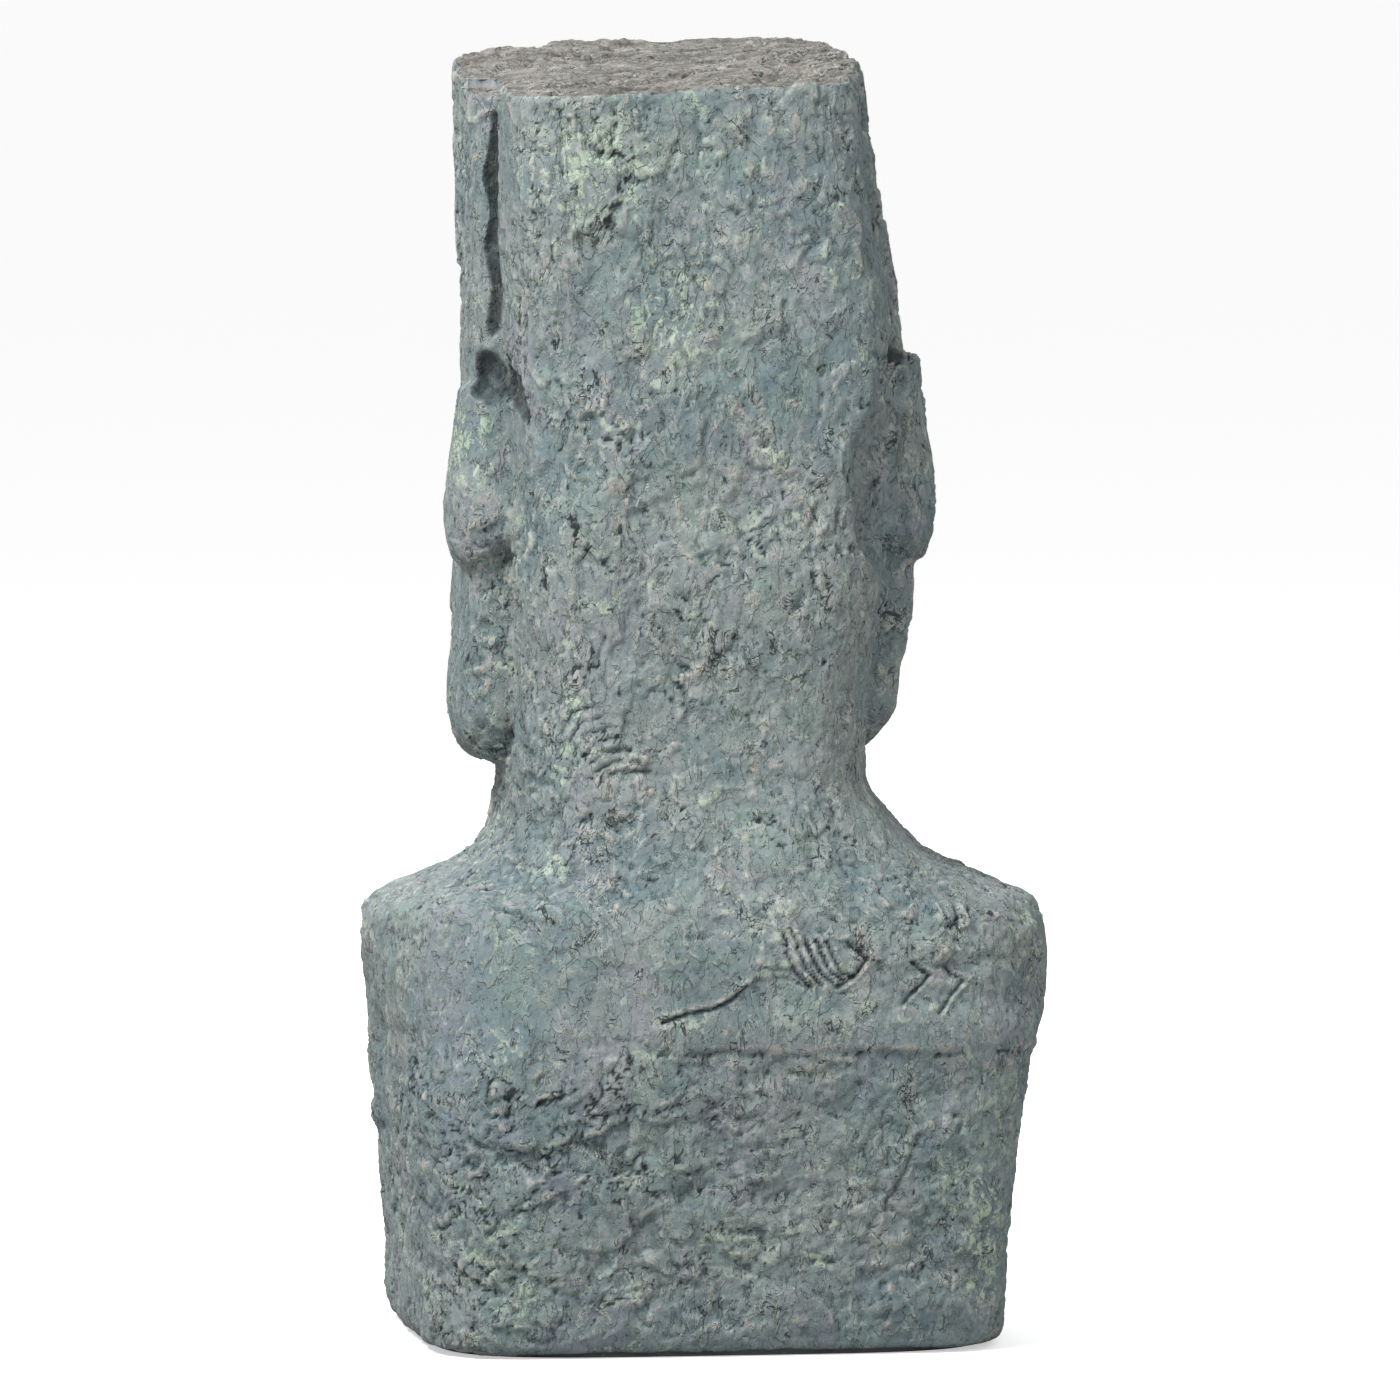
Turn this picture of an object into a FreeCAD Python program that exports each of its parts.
"""A moai-style garden bust, cast hollow in stone-filled resin as a front and a back half.

The halves meet in a bonded joint with glass-mat tapes over it inside, and a base plate with a
bonding bead closes the underside. A rubber plug in the base plate covers the hole for sand ballast.

Frame: millimetres, +Z up, the face looks along -Y, origin on the resting plane under the middle of the
bounding box. The stations are written from the middle of the foot, and the pieces are moved at the end.
"""
import FreeCAD, Part
import math
import os

# Driving dimensions
HEIGHT = 508.0
WALL = 8.0              # thickness of the cast shell
SEAM_Y = 12.0           # the plane where the front and back halves meet
CROWN_Z = 488.87        # the flat crown's height at its back edge, on the middle line
CROWN_BACK_Y = 84.0
CROWN_RISE = 0.105      # how steeply the crown rises towards the face
CROWN_TILT = 0.05       # and towards -X
PLATE_THICKNESS = 6.0
PLATE_REBATE = 4.5      # how far the rebate for the plate is cut into the wall
PLATE_GAP = 0.2         # adhesive gap round the plate
BEAD = 7.0              # leg of the triangular bonding bead on the plate
BEAD_FEATHER = 3.0      # how thick the bead still is at its top
TAPE_THICKNESS = 1.5
TAPE_WIDTH = 32.0
TAPE_BOTTOM_Z = 18.0
CROWN_TAPE_Z = 455.0    # the side tapes end and the crown tape begins here
PLUG_Y = 20.0
PLUG_RADIUS = 16.0
PLUG_FLANGE_RADIUS = 20.0
PLUG_FLANGE = 2.0
PLUG_LENGTH = 15.0      # to the top of the stem
PLUG_TAPER = 4.0        # height of the stem's tapered tip
PLUG_TIP_STEP = 2.0     # how much smaller the tip's radius is at its top
PLUG_WALL = 5.0         # thickness of the stem round its hollow
PLUG_FLOOR = 4.0
PLUG_GROOVE_WIDTH = 4.0
PLUG_GROOVE_DEPTH = 1.2
PLUG_INSET = 0.5        # the flange stays this far above the resting plane
PLUG_CLEARANCE = 0.06
SEAT_CLEARANCE = 0.4
SECTION_POINTS = 32
STEP_Z = 14.0           # spacing of the sections that a loft runs through
LEVEL = 0.01            # an edge that rises less than this is level
OVERSHOOT = 30.0        # how far tools reach past what they cut
FLOOR_REACH = (-200.0, 200.0, -200.0, 200.0)

# Stations: height, half width, middle in X, back Y, front Y, squareness of the section.
TRUNK = [
    (0.0, 111.4, 2.8, 98.5, -89.0, 4.4),
    (3.0, 113.4, 2.8, 101.0, -91.0, 4.4),
    (8.0, 114.6, 2.5, 102.5, -92.5, 4.4),
    (40.0, 116.2, 1.9, 105.5, -96.0, 4.4),
    (80.0, 119.4, 2.3, 109.0, -100.0, 4.2),
    (110.0, 123.2, 0.5, 112.0, -102.0, 4.0),
    (120.0, 125.8, -1.0, 113.5, -102.0, 3.8),
    (131.0, 130.4, -1.5, 115.0, -102.0, 3.5),
    (150.0, 134.2, -0.8, 115.5, -99.0, 3.2),
    (164.0, 132.5, -0.6, 113.5, -93.0, 3.0),
    (172.5, 127.0, 0.2, 111.0, -89.0, 2.8),
    (180.0, 108.5, -0.5, 108.0, -84.0, 2.7),
    (190.0, 89.0, 2.0, 103.5, -76.0, 2.8),
    (203.0, 77.5, 4.5, 99.0, -70.0, 3.0),
    (222.0, 70.0, 9.5, 94.0, -66.0, 3.6),
    (250.0, 69.0, 8.5, 91.0, -60.0, 4.0),
    (300.0, 72.0, 7.0, 90.0, -50.0, 4.6),
    (350.0, 74.0, 6.0, 88.0, -45.0, 5.0),
    (390.0, 75.0, 6.5, 87.5, -42.0, 5.0),
    (433.0, 73.0, 11.5, 87.0, -40.0, 5.0),
    (485.0, 70.5, 15.8, 85.0, -40.0, 5.0),
    (540.0, 70.0, 17.0, 84.0, -40.0, 5.0),
]
FACE_BLOCK = [
    (224.0, 64.0, 12.0, 26.0, -84.0, 3.4),
    (232.0, 76.0, 12.5, 30.0, -90.0, 3.5),
    (240.0, 82.0, 9.5, 34.0, -95.0, 3.6),
    (248.0, 86.0, 6.8, 37.0, -97.0, 3.7),
    (262.0, 86.0, 5.8, 38.0, -96.0, 3.8),
    (286.0, 87.5, 4.0, 40.0, -92.0, 3.9),
    (345.0, 84.5, 3.5, 41.0, -85.0, 4.0),
    (380.0, 84.0, 4.3, 42.0, -86.0, 4.2),
    (402.0, 82.8, 4.7, 42.0, -91.0, 4.3),
    (433.0, 82.0, 6.5, 42.0, -90.0, 4.4),
    (485.0, 77.0, 13.5, 41.0, -84.0, 4.6),
    (540.0, 75.0, 16.0, 40.0, -79.0, 4.6),
]
# Features of the face: half width, front Y and height, at the bottom and at the top of each block
FACE_X = 4.0
FACE_ROOT_Y = -60.0
FACE_FORMS = {
    "brow": ((76.0, -104.0, 388.0), (78.0, -96.0, 410.0)),
    "nose": ((22.0, -118.0, 300.0), (10.0, -102.0, 396.0)),
    "lips": ((30.0, -106.0, 268.0), (30.0, -106.0, 290.0)),
    "chin": ((38.0, -110.0, 238.0), (40.0, -106.0, 262.0)),
}
# The ears: how far the block reaches in and out from the face's middle line, front Y, back Y and height
EAR_BOTTOM = (72.0, 94.0, -18.0, 32.0, 303.0)
EAR_TOP = (74.0, 92.5, -20.0, 30.0, 377.0)


def vec(x, y, z):
    return FreeCAD.Vector(x, y, z)


def smooth_at(stations, z):
    """The station values at height z, on a monotone cubic through the stations."""
    if z <= stations[0][0]:
        return stations[0][1:]
    if z >= stations[-1][0]:
        return stations[-1][1:]
    heights = [s[0] for s in stations]
    i = max(k for k in range(len(stations) - 1) if heights[k] <= z)
    span = heights[i + 1] - heights[i]
    t = (z - heights[i]) / span
    values = []
    for column in range(1, len(stations[0])):
        data = [s[column] for s in stations]
        m0, m1 = slope(heights, data, i), slope(heights, data, i + 1)
        values.append(
            data[i] * (2 * t**3 - 3 * t**2 + 1)
            + span * m0 * (t**3 - 2 * t**2 + t)
            + data[i + 1] * (3 * t**2 - 2 * t**3)
            + span * m1 * (t**3 - t**2)
        )
    return values


def slope(heights, data, i):
    """The slope of the monotone cubic at station i: 0 at a peak or a flat, else a harmonic mean."""
    if i in (0, len(data) - 1):
        j = min(i, len(data) - 2)
        return (data[j + 1] - data[j]) / (heights[j + 1] - heights[j])
    before = (data[i] - data[i - 1]) / (heights[i] - heights[i - 1])
    after = (data[i + 1] - data[i]) / (heights[i + 1] - heights[i])
    if before * after <= 0:
        return 0.0
    return 2 * before * after / (before + after)


def section(values, z, inset):
    """A closed superellipse curve at height z, set in from the station values."""
    half, middle, back, front, square = values
    a, b = half - inset, (back - front) / 2 - inset
    centre = (back + front) / 2
    points = []
    for k in range(SECTION_POINTS):
        c, s = math.cos(2 * math.pi * k / SECTION_POINTS), math.sin(2 * math.pi * k / SECTION_POINTS)
        reach = (abs(c) ** square + abs(s) ** square) ** (-1 / square)
        points.append(vec(middle + a * reach * c, centre + b * reach * s, z))
    curve = Part.BSplineCurve()
    curve.interpolate(Points=points, PeriodicFlag=True, Parameters=list(range(SECTION_POINTS + 1)))
    return curve


def lofted(stations, inset=0.0, low=None, high=None):
    """A solid whose skin is one cubic surface over the sections between two heights."""
    low = stations[0][0] if low is None else low
    high = stations[-1][0] if high is None else high
    count = max(3, round((high - low) / STEP_Z))
    heights = [low + (high - low) * k / count for k in range(count + 1)]
    curves = [section(smooth_at(stations, z), z, inset) for z in heights]
    rows = [curve.getPoles() for curve in curves]
    spans = count - 2
    surface = Part.BSplineSurface()
    surface.buildFromPolesMultsKnots(
        [list(column) for column in zip(*rows)],
        curves[0].getMultiplicities(), [4] + [1] * (spans - 1) + [4],
        curves[0].getKnots(), list(range(spans + 1)),
        True, False, 3, 3,
    )
    skin = surface.toShape()
    caps = [Part.Face(Part.Wire([edge])) for edge in skin.Edges if edge.BoundBox.ZLength < LEVEL]
    shell = Part.Shell([skin] + caps)
    shell.sewShape()
    solid = Part.Solid(shell)
    if solid.Volume < 0:
        solid.reverse()
    return solid


def prism(values, inset, low, high):
    face = Part.Face(Part.Wire([section(values, low, inset).toShape()]))
    return face.extrude(vec(0, 0, high - low))


def box_between(x0, x1, y0, y1, z0, z1):
    return Part.makeBox(x1 - x0, y1 - y0, z1 - z0, vec(x0, y0, z0))


def block(bottom, top):
    """A ruled solid between two rectangles (x0, x1, y0, y1, z)."""
    wires = []
    for x0, x1, y0, y1, z in (bottom, top):
        corners = [vec(x0, y0, z), vec(x1, y0, z), vec(x1, y1, z), vec(x0, y1, z)]
        wires.append(Part.makePolygon(corners + corners[:1]))
    return Part.makeLoft(wires, True, True)


def above_crown(lower=0.0):
    """The space above the tilted crown, or above a plane that far below it."""
    corners = []
    for x, y in ((-1, -1), (1, -1), (1, 1), (-1, 1)):
        x, y = x * HEIGHT / 2, y * HEIGHT / 2
        corners.append(vec(x, y, CROWN_Z - lower + CROWN_RISE * (CROWN_BACK_Y - y) - CROWN_TILT * x))
    plane = Part.Face(Part.makePolygon(corners + corners[:1]))
    return plane.extrude(vec(0, 0, HEIGHT))


def face_features():
    """Brow, nose, lips, chin and the two ears, each rooted inside the face block."""
    parts = []
    for ends in FACE_FORMS.values():
        rectangles = [(FACE_X - half, FACE_X + half, front, FACE_ROOT_Y, z) for half, front, z in ends]
        parts.append(block(*rectangles))
    for side in (-1, 1):
        rectangles = []
        for reach_in, reach_out, front, back, z in (EAR_BOTTOM, EAR_TOP):
            low, high = sorted((FACE_X + side * reach_in, FACE_X + side * reach_out))
            rectangles.append((low, high, front, back, z))
        parts.append(block(*rectangles))
    return parts


def outer_body():
    body = lofted(TRUNK).fuse([lofted(FACE_BLOCK)] + face_features())
    return body.cut(above_crown())


def cavity(inset):
    """The hollow of the casting, set in from the outer form; features on the face stay solid."""
    trunk = lofted(TRUNK, inset, low=PLATE_THICKNESS / 2)
    face = lofted(FACE_BLOCK, inset, low=FACE_BLOCK[1][0] + inset)
    return trunk.fuse(face).cut(above_crown(inset))


def slab(y0, y1):
    reach = HEIGHT
    return box_between(-reach, reach, y0, y1, -reach, 2 * reach)


def one_solid(shape, name):
    """The largest solid of a boolean result."""
    solids = sorted(shape.Solids, key=lambda s: -s.Volume)
    print(f"{name}: {len(solids)} solid(s), {solids[0].Volume / 1000:.1f} cm3, valid {solids[0].isValid()}")
    return solids[0]


def halves(body, hollow):
    """The front and back shells, which meet in a flat bonded joint."""
    rebate = prism(smooth_at(TRUNK, 0.0), WALL - PLATE_REBATE, -OVERSHOOT, PLATE_THICKNESS)
    shell = body.cut([hollow, rebate])
    return shell.common(slab(-HEIGHT, SEAM_Y)), shell.common(slab(SEAM_Y, HEIGHT))


def tapes(hollow, lining):
    """The glass-mat strips inside the joint: left, right and over the crown."""
    layer = hollow.cut(lining).common(slab(SEAM_Y - TAPE_WIDTH / 2, SEAM_Y + TAPE_WIDTH / 2))
    wide = HEIGHT / 2
    regions = {
        "left_seam_tape": box_between(FACE_X, wide, -wide, wide, TAPE_BOTTOM_Z, CROWN_TAPE_Z),
        "right_seam_tape": box_between(-wide, FACE_X, -wide, wide, TAPE_BOTTOM_Z, CROWN_TAPE_Z),
        "crown_seam_tape": box_between(-wide, wide, -wide, wide, CROWN_TAPE_Z, HEIGHT),
    }
    return {name: layer.common(region) for name, region in regions.items()}


def base_plate():
    """The closing plate with its ballast hole, counterbored for the plug's flange."""
    plate = prism(smooth_at(TRUNK, 0.0), WALL - PLATE_REBATE + PLATE_GAP, 0.0, PLATE_THICKNESS)
    hole = Part.makeCylinder(PLUG_RADIUS, PLATE_THICKNESS, vec(0, PLUG_Y, 0))
    seat = Part.makeCylinder(PLUG_FLANGE_RADIUS + SEAT_CLEARANCE, PLUG_INSET + PLUG_FLANGE, vec(0, PLUG_Y, 0))
    return plate.cut([hole, seat])


def bond_bead():
    """The triangular bead of thickened resin between the plate and the wall."""
    values = smooth_at(TRUNK, PLATE_THICKNESS)
    low, high = PLATE_THICKNESS, PLATE_THICKNESS + BEAD
    filled = lofted(TRUNK, WALL + PLATE_GAP, low=PLATE_THICKNESS / 2).common(box_between(*FLOOR_REACH, low, high))
    ends = [section(values, low, WALL + BEAD), section(values, high, WALL + BEAD_FEATHER)]
    return filled.cut(Part.makeLoft([Part.Wire([curve.toShape()]) for curve in ends], True, True))


def plug():
    """The rubber plug: a flange with a finger groove, and a hollow stem that tapers at its top."""
    low = PLUG_INSET
    shoulder = PLUG_LENGTH - PLUG_TAPER
    radius = PLUG_RADIUS - PLUG_CLEARANCE
    flange = Part.makeCylinder(PLUG_FLANGE_RADIUS, PLUG_FLANGE, vec(0, PLUG_Y, low))
    stem = Part.makeCylinder(radius, shoulder - low, vec(0, PLUG_Y, low))
    tip = Part.makeCone(radius, radius - PLUG_TIP_STEP, PLUG_TAPER, vec(0, PLUG_Y, shoulder))
    hollow = Part.makeCylinder(radius - PLUG_WALL, PLUG_LENGTH, vec(0, PLUG_Y, low + PLUG_FLOOR))
    reach, half = PLUG_FLANGE_RADIUS, PLUG_GROOVE_WIDTH / 2
    groove = box_between(-reach, reach, PLUG_Y - half, PLUG_Y + half, 0.0, low + PLUG_GROOVE_DEPTH)
    return flange.fuse([stem, tip]).cut([hollow, groove])


def main():
    os.makedirs("parts", exist_ok=True)
    body = outer_body()
    hollow = cavity(WALL)
    front, back = halves(body, hollow)
    nodes = {"front_shell": front, "back_shell": back}
    nodes.update(tapes(hollow, cavity(WALL + TAPE_THICKNESS)))
    nodes["base_plate"] = base_plate()
    nodes["base_bond_bead"] = bond_bead()
    nodes["ballast_plug"] = plug()
    centre = body.optimalBoundingBox(True, False).Center
    for name, shape in nodes.items():
        solid = one_solid(shape, name)
        solid.translate(vec(-centre.x, -centre.y, 0))
        solid.exportStep(f"parts/{name}.step")


main()
